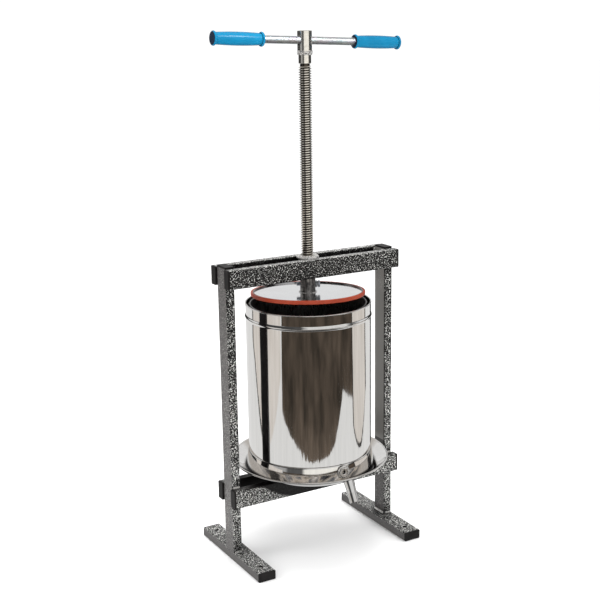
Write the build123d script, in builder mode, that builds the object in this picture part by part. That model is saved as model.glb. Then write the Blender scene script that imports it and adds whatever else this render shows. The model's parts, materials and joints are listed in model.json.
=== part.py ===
from build123d import *
from math import cos, radians, sin, tan
import os

# Basket wine press: a welded tube frame with a screw through its head beams,
# a loose press plate hung on the screw, and a perforated basket in a steel
# casing that stands in a drip tray.
#
# Units are millimetres. The origin is on the floor, straight below the screw.
# +X runs along the beams, -Y is the spout side and +Z is up.

# ---------------------------------------------------------------- frame
tube_wide = 40.0            # every frame tube is 40 x 20 with a 2 mm wall
tube_thin = 20.0
tube_wall = 2.0
tube_corner = 2.4
frame_width = 412.0         # beam length, and the span over both uprights
foot_tube_length = 262.0
foot_hole_r = 4.5           # floor bolts
foot_hole_y = 105.0
frame_height = 650.0        # top of the head beams and uprights
lower_beam_top = 170.0
cap_head = 4.0              # plastic end caps
cap_plug = 12.0
cap_edge = 1.1
cap_slack = 0.2
weld_leg = 4.0

foot_x = (frame_width - tube_wide) / 2
upright_x = (frame_width - tube_thin) / 2
beam_y = (tube_wide + tube_thin) / 2
top_beam_z = frame_height - tube_wide / 2
lower_beam_z = lower_beam_top - tube_wide / 2
upright_length = frame_height - tube_thin

# ---------------------------------------------------------------- screw
pitch = 5.0                 # trapezoidal thread, 26 x 5, held here as ring grooves
major_r = 13.0
root_r = 10.25
crest_width = 1.83
flank = tan(radians(15))
thread_bottom = 609.5
neck_bottom = 1055.0        # the thread ends below a plain neck
neck_top = 1075.0
spigot_r = 10.0             # the neck's spigot fits up inside the handle hub
spigot_length = 15.0
journal_r = 11.0            # plain end that turns inside the press plate's hub
groove_r = 7.0
groove_bottom = 583.0       # the retaining bolt's groove in the journal
groove_top = 593.0
groove_count = int((neck_bottom - thread_bottom) / pitch)

nut_r = 19.0
nut_height = 42.0
nut_bottom = frame_height - tube_wide
running_gap = 0.06

# ---------------------------------------------------------------- handle
hub_r = 15.0
hub_height = 47.0
hub_hole_r = 8.8
bar_r = 8.0
bar_z = 1102.3
bar_droop = 2.24            # the loose bar droops towards its longer side
bar_left = 98.0             # bare bar on each side, from the screw's axis
bar_right = 120.0
grip_length = 112.0
grip_bore_depth = 104.0
grip_r = 12.0
grip_belly_r = 13.6
grip_flange_r = 14.8
grip_flange = 5.0

# ---------------------------------------------------------------- press plate
plate_top = 573.0
plate_rock = 3.0            # the plate hangs loose on the screw and rocks a little
plate_heading = -30.0       # direction of the axis that it rocks about
plate_r = 120.5
plate_thickness = 3.0
seal_r = 123.7
plate_lip_r = 118.3         # upturned ring on the plate that holds the seal's lip
plate_lip_wall = 0.9
plate_lip_height = 3.0
seal_lip_r = 118.4
seal_above = 3.2
seal_below = 1.8
sleeve_r = 16.5
sleeve_bore_r = 13.5
sleeve_height = 35.0
washer_r = 12.0
washer_thickness = 2.0
bolt_r = 4.0
bolt_height = 15.0          # above the plate
bolt_offset = 11.1          # the bolt passes beside the screw, in its groove
bolt_left = 24.5
bolt_head_start = 21.4
bolt_head_height = 5.3
hex_r = 7.5
lock_nut_start = 16.3
lock_nut_height = 5.0

# ---------------------------------------------------------------- basket and casing
stand_top = 222.0           # the level that the basket and casing stand on
basket_top = 551.0
basket_r = 126.5
basket_wall = 1.0
basket_floor_z = 223.5
basket_floor_thickness = 2.0
basket_hem_r = 1.0
hole_r = 3.0
hole_columns = 32
hole_rows = 12
casing_top = 553.8
casing_r = 136.0
casing_wall = 1.2
casing_hem_r = 1.5
bead_drop = 29.0            # the swaged bead, below the rim
bead_half = 5.5
bead_bulge = 1.6

# ---------------------------------------------------------------- drip tray
tray_sheet = 1.2
tray_rim_r = 173.4
tray_rim_z = 201.5
tray_roll_r = 1.9
tray_knee_r = 142.0         # where the flared wall meets the shallow floor
tray_knee_z = 182.0
tray_flat_r = 100.0
stand_flat_r = 137.0
stand_corner = 3.0
stand_foot_r = 141.0
stand_foot_z = 183.2
stand_sheet = 1.5
juice_hole_r = 2.6
outlet_r = 12.0
outlet_bore_r = 9.0
outlet_z = 206.0
outlet_length = 7.5
spout_r = 10.0              # plain end for the hose
spout_hose_length = 20.0
spout_root_r = 12.2         # the tube widens towards the tray
spout_root_start = 46.0
spout_wall = 1.5
spout_slope = 60.0          # below the horizontal
spout_end_y = -184.0
spout_end_z = 153.0
spout_length = 60.0

os.makedirs("parts", exist_ok=True)


def save(piece, name):
    """Label a finished sub-part and write it as its own STEP file."""
    piece.part.label = name
    export_step(piece.part, f"parts/{name}.step")


# ================================================================ frame tubes
def tube_section(width, height):
    """Hollow rounded rectangle, drawn in the sketch that is open."""
    RectangleRounded(width, height, tube_corner)
    RectangleRounded(
        width - 2 * tube_wall,
        height - 2 * tube_wall,
        tube_corner / 3,
        mode=Mode.SUBTRACT,
    )


def make_foot(side):
    """Foot tube lying flat along Y, drilled through for the floor bolts."""
    with BuildPart() as foot:
        with BuildSketch(Plane.XZ):
            with Locations((side * foot_x, tube_thin / 2)):
                tube_section(tube_wide, tube_thin)
        extrude(amount=foot_tube_length / 2, both=True)
        with Locations(
            (side * foot_x, foot_hole_y, tube_thin),
            (side * foot_x, -foot_hole_y, tube_thin),
        ):
            Hole(radius=foot_hole_r, depth=tube_thin)
    return foot


def make_upright(side):
    """Upright tube that stands on a foot, flush with the foot's outer side."""
    with BuildPart() as upright:
        with BuildSketch(Plane.XY.offset(tube_thin)):
            with Locations((side * upright_x, 0)):
                tube_section(tube_thin, tube_wide)
        extrude(amount=upright_length)
    return upright


def make_beam(y, z):
    """Cross beam on the front or rear face of both uprights."""
    with BuildPart() as beam:
        with BuildSketch(Plane.YZ):
            with Locations((y, z)):
                tube_section(tube_thin, tube_wide)
        extrude(amount=frame_width / 2, both=True)
    return beam


left_foot = make_foot(-1)
save(left_foot, "left_foot")
right_foot = make_foot(1)
save(right_foot, "right_foot")
left_upright = make_upright(-1)
save(left_upright, "left_upright")
right_upright = make_upright(1)
save(right_upright, "right_upright")
front_top_beam = make_beam(-beam_y, top_beam_z)
save(front_top_beam, "front_top_beam")
rear_top_beam = make_beam(beam_y, top_beam_z)
save(rear_top_beam, "rear_top_beam")
front_lower_beam = make_beam(-beam_y, lower_beam_z)
save(front_lower_beam, "front_lower_beam")
rear_lower_beam = make_beam(beam_y, lower_beam_z)
save(rear_lower_beam, "rear_lower_beam")


# ================================================================ end caps
def add_cap(plane, width, height):
    """Plastic cap: a rounded head on the tube's end and a hollow plug inside it."""
    with BuildSketch(plane) as head:
        RectangleRounded(width, height, tube_corner)
    extrude(head.sketch, amount=cap_head)
    outward = Axis(plane.origin, plane.z_dir)
    fillet(edges(Select.LAST).group_by(outward)[-1], radius=cap_edge)
    inner_width = width - 2 * (tube_wall + cap_slack)
    inner_height = height - 2 * (tube_wall + cap_slack)
    with BuildSketch(plane) as plug:
        RectangleRounded(inner_width, inner_height, tube_corner / 3)
        Rectangle(inner_width - 4, inner_height - 4, mode=Mode.SUBTRACT)
    extrude(plug.sketch, amount=-cap_plug)


with BuildPart() as foot_end_caps:
    for side in (-1, 1):
        for end in (-1, 1):
            add_cap(
                Plane(
                    origin=(side * foot_x, end * foot_tube_length / 2, tube_thin / 2),
                    x_dir=(1, 0, 0),
                    z_dir=(0, end, 0),
                ),
                tube_wide,
                tube_thin,
            )
save(foot_end_caps, "foot_end_caps")

with BuildPart() as upright_top_caps:
    for side in (-1, 1):
        add_cap(
            Plane(origin=(side * upright_x, 0, frame_height), z_dir=(0, 0, 1)),
            tube_thin,
            tube_wide,
        )
save(upright_top_caps, "upright_top_caps")


def make_beam_caps(z):
    """The four caps on the ends of the front and rear beam at one level."""
    with BuildPart() as caps:
        for end in (-1, 1):
            for side in (-1, 1):
                add_cap(
                    Plane(
                        origin=(end * frame_width / 2, side * beam_y, z),
                        x_dir=(0, 1, 0),
                        z_dir=(end, 0, 0),
                    ),
                    tube_thin,
                    tube_wide,
                )
    return caps


top_beam_end_caps = make_beam_caps(top_beam_z)
save(top_beam_end_caps, "top_beam_end_caps")
lower_beam_end_caps = make_beam_caps(lower_beam_z)
save(lower_beam_end_caps, "lower_beam_end_caps")


# ================================================================ frame welds
def add_bead(middle, side_a, side_b, length):
    """Fillet weld in the corner between two faces that look along side_a and side_b."""
    run = Vector(*side_a).cross(Vector(*side_b))
    bulge = 0.62 * weld_leg
    with BuildSketch(Plane(origin=middle, x_dir=side_a, z_dir=run)) as section:
        with BuildLine():
            Line((0, 0), (weld_leg, 0))
            ThreePointArc((weld_leg, 0), (bulge, bulge), (0, weld_leg))
            Line((0, weld_leg), (0, 0))
        make_face()
    extrude(section.sketch, amount=length / 2, both=True)


with BuildPart() as frame_weld_beads:
    inner_x = upright_x - tube_thin / 2
    half = tube_wide / 2
    for side in (-1, 1):
        # around the foot of each upright
        add_bead((side * inner_x, 0, tube_thin), (-side, 0, 0), (0, 0, 1), 34)
        for face in (-1, 1):
            add_bead(
                (side * upright_x, face * half, tube_thin), (0, face, 0), (0, 0, 1), 14
            )
            # down the inner corner behind each beam, and along the beam's edges
            for z in (top_beam_z, lower_beam_z):
                add_bead(
                    (side * inner_x, face * half, z), (-side, 0, 0), (0, -face, 0), 34
                )
                add_bead(
                    (side * upright_x, face * half, z - half),
                    (0, face, 0),
                    (0, 0, -1),
                    14,
                )
            add_bead(
                (side * upright_x, face * half, lower_beam_top),
                (0, face, 0),
                (0, 0, 1),
                14,
            )
save(frame_weld_beads, "frame_weld_beads")


# ================================================================ screw nut
with BuildPart() as screw_nut:
    with BuildSketch(Plane.XY.offset(nut_bottom)):
        Circle(nut_r)
        Circle(major_r + running_gap, mode=Mode.SUBTRACT)
    extrude(amount=nut_height)
    chamfer(edges().filter_by(GeomType.CIRCLE).group_by(SortBy.RADIUS)[0], length=1)
save(screw_nut, "screw_nut")

with BuildPart() as nut_weld_beads:
    # one rough ring joins the nut to the beams on top, another underneath
    for level, up in ((frame_height, 1), (nut_bottom, -1)):
        with BuildSketch(Plane.XZ):
            with BuildLine():
                Line((nut_r + 0.02, level), (nut_r + 5, level))
                ThreePointArc(
                    (nut_r + 5, level),
                    (nut_r + 2.8, level + up * 1.4),
                    (nut_r + 0.02, level + up * 2),
                )
                Line((nut_r + 0.02, level + up * 2), (nut_r + 0.02, level))
            make_face()
        revolve(axis=Axis.Z)
save(nut_weld_beads, "nut_weld_beads")

# ================================================================ screw and handle
def thread_outline():
    """Points up the side of the threaded length, one trapezoidal groove per pitch."""
    depth = major_r - root_r
    points = []
    for groove in range(groove_count):
        z = thread_bottom + groove * pitch
        points += [
            (root_r, z),
            (major_r, z + depth * flank),
            (major_r, z + depth * flank + crest_width),
            (root_r, z + 2 * depth * flank + crest_width),
        ]
    return points


with BuildPart() as screw_spindle:
    tip_z = plate_top + washer_thickness
    with BuildSketch(Plane.XZ):
        with BuildLine():
            Polyline(
                (0, tip_z + 0.4),
                (6, tip_z + 0.7),
                (9, tip_z + 2),
                (journal_r, tip_z + 4),
                (journal_r, groove_bottom),
                (groove_r, groove_bottom),
                (groove_r, groove_top),
                (journal_r, groove_top),
                (journal_r, thread_bottom - 1.5),
                (root_r, thread_bottom - 0.7),
                *thread_outline(),
                (root_r, neck_bottom),
                (major_r, neck_bottom + 1),
                (major_r, neck_top),
                (spigot_r, neck_top),
                (spigot_r, neck_top + spigot_length),
                (0, neck_top + spigot_length),
                close=True,
            )
        make_face()
    revolve(axis=Axis.Z)
save(screw_spindle, "screw_spindle")

with BuildPart() as handle_hub:
    with BuildSketch(Plane.XY.offset(neck_top)):
        Circle(hub_r)
    extrude(amount=hub_height)
    chamfer(edges().group_by(Axis.Z)[-1], length=0.8)
    with BuildSketch(Plane.XY.offset(neck_top)):
        Circle(spigot_r + 0.05)
    extrude(amount=spigot_length + 0.5, mode=Mode.SUBTRACT)
    with BuildSketch(Plane.YZ):
        with Locations((0, bar_z)):
            Circle(hub_hole_r)
    extrude(amount=hub_r + 1, both=True, mode=Mode.SUBTRACT)
save(handle_hub, "handle_hub")

with BuildPart() as hub_weld_bead:
    with BuildSketch(Plane.XZ):
        with BuildLine():
            Line((major_r + 0.02, neck_top), (hub_r + 0.4, neck_top))
            ThreePointArc(
                (hub_r + 0.4, neck_top),
                (major_r + 2, neck_top - 2.6),
                (major_r + 0.02, neck_top - 3.6),
            )
            Line((major_r + 0.02, neck_top - 3.6), (major_r + 0.02, neck_top))
        make_face()
    revolve(axis=Axis.Z)
save(hub_weld_bead, "hub_weld_bead")

droop = radians(bar_droop)
bar_plane = Plane(origin=(0, 0, bar_z), x_dir=(0, 1, 0), z_dir=(cos(droop), 0, -sin(droop)))

with BuildPart() as handle_bar:
    with BuildSketch(bar_plane.offset(-bar_left - grip_bore_depth)):
        Circle(bar_r)
    extrude(amount=bar_left + bar_right + 2 * grip_bore_depth)
    chamfer(edges(), length=0.6)
save(handle_bar, "handle_bar")


def make_grip(start, direction):
    """Moulded grip turned about the bar, open end at start and closed at its far end."""
    profile = Plane(
        origin=bar_plane.offset(start).origin,
        x_dir=bar_plane.x_dir,
        z_dir=bar_plane.z_dir.cross(bar_plane.x_dir) * -direction,
    )
    spin = Axis(profile.origin, bar_plane.z_dir)
    with BuildPart() as grip:
        with BuildSketch(profile):
            with BuildLine():
                Line((bar_r + 0.05, 0), (grip_flange_r - 1.5, 0))
                ThreePointArc(
                    (grip_flange_r - 1.5, 0),
                    (grip_flange_r, grip_flange / 2),
                    (grip_flange_r - 1.5, grip_flange),
                )
                Line((grip_flange_r - 1.5, grip_flange), (grip_r, grip_flange))
                ThreePointArc(
                    (grip_r, grip_flange),
                    (grip_belly_r, grip_length / 2),
                    (grip_r, grip_length - grip_flange),
                )
                Line(
                    (grip_r, grip_length - grip_flange),
                    (grip_flange_r - 1.5, grip_length - grip_flange),
                )
                ThreePointArc(
                    (grip_flange_r - 1.5, grip_length - grip_flange),
                    (grip_flange_r, grip_length - grip_flange / 2),
                    (grip_flange_r - 2.5, grip_length),
                )
                Line((grip_flange_r - 2.5, grip_length), (0, grip_length))
                Line((0, grip_length), (0, grip_bore_depth + 0.2))
                Line((0, grip_bore_depth + 0.2), (bar_r + 0.05, grip_bore_depth + 0.2))
                Line((bar_r + 0.05, grip_bore_depth + 0.2), (bar_r + 0.05, 0))
            make_face()
        revolve(axis=spin)
    return grip


left_grip = make_grip(-bar_left, -1)
save(left_grip, "left_grip")
right_grip = make_grip(bar_right, 1)
save(right_grip, "right_grip")

# ================================================================ press plate
heading = radians(plate_heading)
rock = radians(plate_rock)
rock_axis = Vector(cos(heading), sin(heading), 0)
behind = Vector(-sin(heading), cos(heading), 0)
normal = behind * sin(rock) + Vector(0, 0, cos(rock))
# the plate is centred on the screw at the height of the retaining bolt
plate_plane = Plane(
    origin=Vector(0, 0, plate_top) - behind * (bolt_height * sin(rock)),
    x_dir=rock_axis,
    z_dir=normal,
)
plate_axis = Axis(plate_plane.origin, plate_plane.z_dir)
plate_section = Plane(
    origin=plate_plane.origin, x_dir=plate_plane.x_dir, z_dir=plate_plane.y_dir * -1
)

with BuildPart() as piston_plate:
    with BuildSketch(plate_plane.offset(-plate_thickness)):
        Circle(plate_r)
    extrude(amount=plate_thickness)
    with BuildSketch(plate_plane):
        Circle(plate_lip_r)
        Circle(plate_lip_r - plate_lip_wall, mode=Mode.SUBTRACT)
    extrude(amount=plate_lip_height)
save(piston_plate, "piston_plate")

with BuildPart() as piston_seal:
    # channel section that grips the plate's edge, with rounded outer corners
    bottom = -plate_thickness - seal_below
    corner = 1.6
    with BuildSketch(plate_section):
        with BuildLine():
            Polyline(
                (seal_lip_r, 0.02),
                (seal_lip_r, seal_above - 0.6),
                (seal_lip_r + 0.6, seal_above),
                (seal_r - corner, seal_above),
            )
            RadiusArc((seal_r - corner, seal_above), (seal_r, seal_above - corner), corner)
            Line((seal_r, seal_above - corner), (seal_r, bottom + corner))
            RadiusArc((seal_r, bottom + corner), (seal_r - corner, bottom), corner)
            Polyline(
                (seal_r - corner, bottom),
                (seal_lip_r, bottom),
                (seal_lip_r, -plate_thickness - 0.02),
                (plate_r + 0.02, -plate_thickness - 0.02),
                (plate_r + 0.02, 0.02),
                (seal_lip_r, 0.02),
            )
        make_face()
    revolve(axis=plate_axis)
save(piston_seal, "piston_seal")

bolt_origin = (
    plate_plane.origin + plate_plane.z_dir * bolt_height + plate_plane.y_dir * bolt_offset
)
bolt_plane = Plane(origin=bolt_origin, x_dir=plate_plane.y_dir, z_dir=rock_axis)

with BuildPart() as piston_hub:
    with BuildSketch(plate_plane):
        Circle(sleeve_r)
        Circle(sleeve_bore_r, mode=Mode.SUBTRACT)
    extrude(amount=sleeve_height)
    chamfer(edges().group_by(plate_axis)[-1], length=0.5)
    with BuildSketch(bolt_plane):
        Circle(bolt_r + 0.1)
    extrude(amount=sleeve_r + 2, both=True, mode=Mode.SUBTRACT)
save(piston_hub, "piston_hub")

with BuildPart() as piston_hub_weld:
    with BuildSketch(plate_section):
        with BuildLine():
            Line((sleeve_r + 0.02, 0.02), (sleeve_r + 3.5, 0.02))
            ThreePointArc(
                (sleeve_r + 3.5, 0.02), (sleeve_r + 1.8, 1.9), (sleeve_r + 0.02, 3.2)
            )
            Line((sleeve_r + 0.02, 3.2), (sleeve_r + 0.02, 0.02))
        make_face()
    revolve(axis=plate_axis)
save(piston_hub_weld, "piston_hub_weld")

with BuildPart() as thrust_washer:
    with BuildSketch(plate_plane.offset(0.02)):
        Circle(washer_r)
    extrude(amount=washer_thickness)
save(thrust_washer, "thrust_washer")

with BuildPart() as retaining_bolt:
    with BuildSketch(bolt_plane.offset(-bolt_left)):
        Circle(bolt_r)
    extrude(amount=bolt_left + bolt_head_start)
    chamfer(edges().group_by(Axis(bolt_plane.origin, bolt_plane.z_dir))[0], length=0.8)
    with BuildSketch(bolt_plane.offset(bolt_head_start)):
        RegularPolygon(hex_r, 6)
    extrude(amount=bolt_head_height)
save(retaining_bolt, "retaining_bolt")

with BuildPart() as lock_nut:
    with BuildSketch(bolt_plane.offset(lock_nut_start)):
        RegularPolygon(hex_r, 6)
        Circle(bolt_r + 0.02, mode=Mode.SUBTRACT)
    extrude(amount=lock_nut_height)
save(lock_nut, "lock_nut")

# ================================================================ basket
with BuildPart() as basket_shell:
    with BuildSketch(Plane.XY.offset(stand_top)):
        Circle(basket_r)
        Circle(basket_r - basket_wall, mode=Mode.SUBTRACT)
    extrude(amount=basket_top - stand_top - basket_hem_r)
    first_row = stand_top + 30
    row_step = (basket_top - 40 - first_row) / (hole_rows - 1)
    for row in range(hole_rows):
        turn = 180 / hole_columns * (row % 2)
        ring_plane = Plane.XY.offset(first_row + row * row_step)
        with Locations(ring_plane):
            with PolarLocations(basket_r, hole_columns, start_angle=turn):
                with Locations(Location((0, 0, 0), (0, 90, 0))):
                    Cylinder(hole_r, 6, mode=Mode.SUBTRACT)
    # the rim is hemmed over, like the casing's
    with BuildSketch(Plane.XZ) as hem:
        with Locations((basket_r - basket_wall / 2, basket_top - basket_hem_r)):
            Circle(basket_hem_r)
    revolve(hem.sketch, axis=Axis.Z)
save(basket_shell, "basket_shell")

with BuildPart() as basket_floor:
    with BuildSketch(Plane.XY.offset(basket_floor_z)):
        Circle(basket_r - basket_wall - 0.05)
        for ring_r, count in ((20, 6), (45, 12), (70, 18), (95, 24), (115, 30)):
            with PolarLocations(ring_r, count):
                Circle(hole_r, mode=Mode.SUBTRACT)
    extrude(amount=basket_floor_thickness)
save(basket_floor, "basket_floor")

# ================================================================ casing
with BuildPart() as casing_shell:
    inner_r = casing_r - casing_wall
    bead_z = casing_top - bead_drop
    hem_z = casing_top - casing_hem_r
    with BuildSketch(Plane.XZ):
        with BuildLine():
            Polyline(
                (inner_r, hem_z),
                (inner_r, bead_z + bead_half),
            )
            ThreePointArc(
                (inner_r, bead_z + bead_half),
                (inner_r + bead_bulge, bead_z),
                (inner_r, bead_z - bead_half),
            )
            Polyline(
                (inner_r, bead_z - bead_half),
                (inner_r, stand_top),
                (casing_r, stand_top),
                (casing_r, bead_z - bead_half),
            )
            ThreePointArc(
                (casing_r, bead_z - bead_half),
                (casing_r + bead_bulge, bead_z),
                (casing_r, bead_z + bead_half),
            )
            Polyline(
                (casing_r, bead_z + bead_half),
                (casing_r, hem_z),
                (inner_r, hem_z),
            )
        make_face()
        # the rim is hemmed over into a small round edge
        with Locations((casing_r - casing_wall / 2, hem_z)):
            Circle(casing_hem_r)
    revolve(axis=Axis.Z)
save(casing_shell, "casing_shell")

# ================================================================ tray and stand
spout_dir = Vector(0, -cos(radians(spout_slope)), -sin(radians(spout_slope)))
spout_end = Vector(0, spout_end_y, spout_end_z)
spout_plane = Plane(origin=spout_end, x_dir=(1, 0, 0), z_dir=spout_dir * -1)
# a section plane through the spout's axis, its Y running up the tube
spout_section = Plane(
    origin=spout_end, x_dir=(1, 0, 0), z_dir=Vector(1, 0, 0).cross(spout_dir * -1)
)
rim_wall_r = tray_rim_r - tray_roll_r


def tray_underside():
    """Lines of the tray's underside in the XZ plane, from the centre out to the rim."""
    Polyline(
        (0, lower_beam_top),
        (tray_flat_r, lower_beam_top),
        (tray_knee_r, tray_knee_z),
        (rim_wall_r, tray_rim_z),
    )


with BuildPart() as drip_tray:
    with BuildSketch(Plane.XZ):
        with BuildLine():
            tray_underside()
            Polyline(
                (rim_wall_r, tray_rim_z),
                (rim_wall_r - 0.7, tray_rim_z + 1.1),
                (tray_knee_r - 0.6, tray_knee_z + tray_sheet),
                (tray_flat_r - 0.4, lower_beam_top + tray_sheet),
                (0, lower_beam_top + tray_sheet),
                (0, lower_beam_top),
            )
        make_face()
        with Locations((rim_wall_r, tray_rim_z)):
            Circle(tray_roll_r)
    revolve(axis=Axis.Z)
    with BuildSketch(spout_plane):
        Circle(spout_root_r - spout_wall)
    extrude(amount=spout_length + 20, mode=Mode.SUBTRACT)
save(drip_tray, "drip_tray")

with BuildPart() as tray_spout:
    with BuildSketch(spout_section):
        with BuildLine():
            Polyline(
                (spout_r, 0),
                (spout_r, spout_hose_length),
                (spout_root_r, spout_root_start),
                (spout_root_r, spout_length),
                (spout_root_r - spout_wall, spout_length),
                (spout_root_r - spout_wall, spout_root_start),
                (spout_r - spout_wall, spout_hose_length),
                (spout_r - spout_wall, 0),
                close=True,
            )
        make_face()
    revolve(axis=Axis(spout_end, spout_dir * -1))
    # the tube's upper end follows the underside of the tray
    with BuildSketch(Plane.XZ):
        with BuildLine():
            tray_underside()
            Polyline(
                (rim_wall_r, tray_rim_z),
                (rim_wall_r, tray_rim_z + 60),
                (0, tray_rim_z + 60),
                (0, lower_beam_top),
            )
        make_face()
        with Locations((rim_wall_r, tray_rim_z)):
            Circle(tray_roll_r + 0.02)
    revolve(axis=Axis.Z, mode=Mode.SUBTRACT)
save(tray_spout, "tray_spout")

with BuildPart() as basket_stand:
    # inverted pan: a flat top for the basket and casing on a tapered skirt
    corner_r = stand_flat_r + stand_corner
    with BuildSketch(Plane.XZ):
        with BuildLine():
            Line((0, stand_top), (stand_flat_r, stand_top))
            RadiusArc(
                (stand_flat_r, stand_top),
                (corner_r, stand_top - stand_corner),
                stand_corner,
            )
            Polyline(
                (corner_r, stand_top - stand_corner),
                (stand_foot_r, stand_foot_z),
                (stand_foot_r - stand_sheet, stand_foot_z),
                (corner_r - stand_sheet, stand_top - stand_corner),
            )
            RadiusArc(
                (corner_r - stand_sheet, stand_top - stand_corner),
                (stand_flat_r, stand_top - stand_sheet),
                -(stand_corner - stand_sheet),
            )
            Polyline(
                (stand_flat_r, stand_top - stand_sheet),
                (0, stand_top - stand_sheet),
                (0, stand_top),
            )
        make_face()
    revolve(axis=Axis.Z)
    # juice holes under the gap between the basket and the casing
    with BuildSketch(Plane.XY.offset(stand_top)):
        with PolarLocations((basket_r + casing_r - casing_wall) / 2, 24):
            Circle(juice_hole_r)
    extrude(amount=-2 * stand_sheet, mode=Mode.SUBTRACT)
    with BuildSketch(Plane.XZ.offset(stand_flat_r - 15)):
        with Locations((0, outlet_z)):
            Circle(outlet_r + 0.05)
    extrude(amount=30, mode=Mode.SUBTRACT)
save(basket_stand, "basket_stand")

with BuildPart() as stand_outlet:
    with BuildSketch(Plane.XZ.offset(stand_flat_r - 1)):
        with Locations((0, outlet_z)):
            Circle(outlet_r)
            Circle(outlet_bore_r, mode=Mode.SUBTRACT)
    extrude(amount=outlet_length)
save(stand_outlet, "stand_outlet")
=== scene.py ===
import bpy
import bmesh
import json
import math
from mathutils import Matrix, Vector, noise


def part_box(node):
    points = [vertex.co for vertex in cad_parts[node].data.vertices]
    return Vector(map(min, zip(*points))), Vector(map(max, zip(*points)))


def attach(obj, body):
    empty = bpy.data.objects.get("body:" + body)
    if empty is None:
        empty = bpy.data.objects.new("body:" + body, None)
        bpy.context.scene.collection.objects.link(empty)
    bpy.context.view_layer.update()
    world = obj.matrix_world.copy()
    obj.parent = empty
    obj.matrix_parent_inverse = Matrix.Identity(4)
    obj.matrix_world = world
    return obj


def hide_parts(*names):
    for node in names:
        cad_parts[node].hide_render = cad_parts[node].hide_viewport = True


# Basket wine press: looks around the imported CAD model. Lengths are metres.
# Origin on the floor under the screw, +X along the beams, -Y the spout side.

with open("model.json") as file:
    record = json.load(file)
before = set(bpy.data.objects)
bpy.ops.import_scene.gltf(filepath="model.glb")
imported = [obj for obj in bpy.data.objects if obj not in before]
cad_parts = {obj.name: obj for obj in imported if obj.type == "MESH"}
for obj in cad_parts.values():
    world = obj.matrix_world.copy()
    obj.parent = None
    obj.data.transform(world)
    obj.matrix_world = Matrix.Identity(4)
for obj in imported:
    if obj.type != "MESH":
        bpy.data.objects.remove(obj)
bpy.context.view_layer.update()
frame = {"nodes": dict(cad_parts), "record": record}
nodes = frame["nodes"]
MM = 0.001
NEARLY_BLACK = (0.004, 0.0035, 0.0035)

# ------------------------------------------------------------------ driving sizes
PITCH = 5.0 * MM
MAJOR_R = 13.0 * MM
ROOT_R = 10.25 * MM
CREST = 1.83 * MM
FLANK = math.tan(math.radians(15.0))
THREAD_BOTTOM = 609.5 * MM
NECK_BOTTOM = 1055.0 * MM
NECK_TOP = 1075.0 * MM
PLATE_TOP = 573.0 * MM
PLATE_ROCK = math.radians(3.0)
PLATE_HEADING = math.radians(-30.0)
BOLT_HEIGHT = 15.0 * MM
BOLT_OFFSET = 11.1 * MM
CASING_R = 136.0 * MM
CASING_WALL = 1.2 * MM
HEM_R = 1.5 * MM
BEAD_DROP = 29.0 * MM
BEAD_HALF = 5.5 * MM
BEAD_BULGE = 1.6 * MM
SHEET_WAVE = 0.10 * MM
OUTLET_R = 11.6 * MM
STAND_TOP_R = 133.6 * MM
STAND_EDGE_R = 3.2 * MM
STAND_FOOT_R = 141.0 * MM
JUICE_HOLE_R = 2.6 * MM
JUICE_RING_R = 130.65 * MM
STAND_SHEET = 1.5 * MM
TRAY_RIM_R = 173.4 * MM
TRAY_RIM_Z = 201.5 * MM
TRAY_ROLL = 1.9 * MM
TRAY_FLAT_R = 96.0 * MM
TRAY_SHEET = 1.2 * MM
TRAY_CURVE = 1.85
TRAY_FLOOR_R = 60.0 * MM
LOW_LIGHT_SLOPE = 1.65
SKIRT_START = 32.0
JUICE_HOLES = 24
CHAMFER = 0.4 * MM
JOURNAL_R = 11.0 * MM
GROOVE_R = 7.0 * MM
GROOVE_BOTTOM = 583.0 * MM
GROOVE_TOP = 593.0 * MM
HUB_PIN_R = 10.0 * MM
HUB_PIN_TOP = NECK_TOP + 15.0 * MM
BOLT_R = 3.9 * MM
BOLT_ROOT_R = 3.3 * MM
HEX_R = 7.5 * MM
HEX_EDGE_R = 6.9 * MM
HEX_CROWN_R = 6.6 * MM
HEX_FROM_R = 5.2 * MM
NUT_BORE_R = 4.1 * MM
OUTLET_BORE_R = 4.2 * MM
LONG_WELD = 36 * MM
SHORT_WELD = 16 * MM
WELD_SIZE = 2.9 * MM
BEAD_STEP = 1.1 * MM
BEAD_SIDES = 12
SEED_STEP = 3.7
ON_AXIS = 1e-7
SHARP_ANGLE = math.radians(38.0)
SHEET_TINT = (0.83, 0.82, 0.805)
SHEET_STREAKS = (150.0, 150.0, 5.0)


# ------------------------------------------------------------------ shader helpers
def blank(name):
    """New node material with an output and a Principled shader."""
    mat = bpy.data.materials.new(name)
    mat.use_nodes = True
    tree = mat.node_tree
    tree.nodes.clear()
    out = tree.nodes.new("ShaderNodeOutputMaterial")
    skin = tree.nodes.new("ShaderNodeBsdfPrincipled")
    tree.links.new(skin.outputs["BSDF"], out.inputs["Surface"])
    return mat, tree, skin


def add(tree, kind, inputs=None, **settings):
    """Add a node, set its properties, then link or fill its inputs."""
    node = tree.nodes.new(kind)
    for key, value in settings.items():
        setattr(node, key, value)
    for key, value in (inputs or {}).items():
        plug(tree, node.inputs[key], value)
    return node


def plug(tree, socket, value):
    if isinstance(value, bpy.types.NodeSocket):
        tree.links.new(value, socket)
    else:
        socket.default_value = value


def place(tree, scale=(1, 1, 1)):
    """Object coordinates, stretched by scale."""
    coord = add(tree, "ShaderNodeTexCoord")
    mapping = add(tree, "ShaderNodeMapping", {"Vector": coord.outputs["Object"]})
    mapping.inputs["Scale"].default_value = scale
    return mapping.outputs["Vector"]


def noise_tex(tree, vector, scale, detail=3.0, rough=0.55):
    node = add(
        tree,
        "ShaderNodeTexNoise",
        {"Vector": vector, "Scale": scale, "Detail": detail, "Roughness": rough},
    )
    return node.outputs["Fac"]


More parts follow.
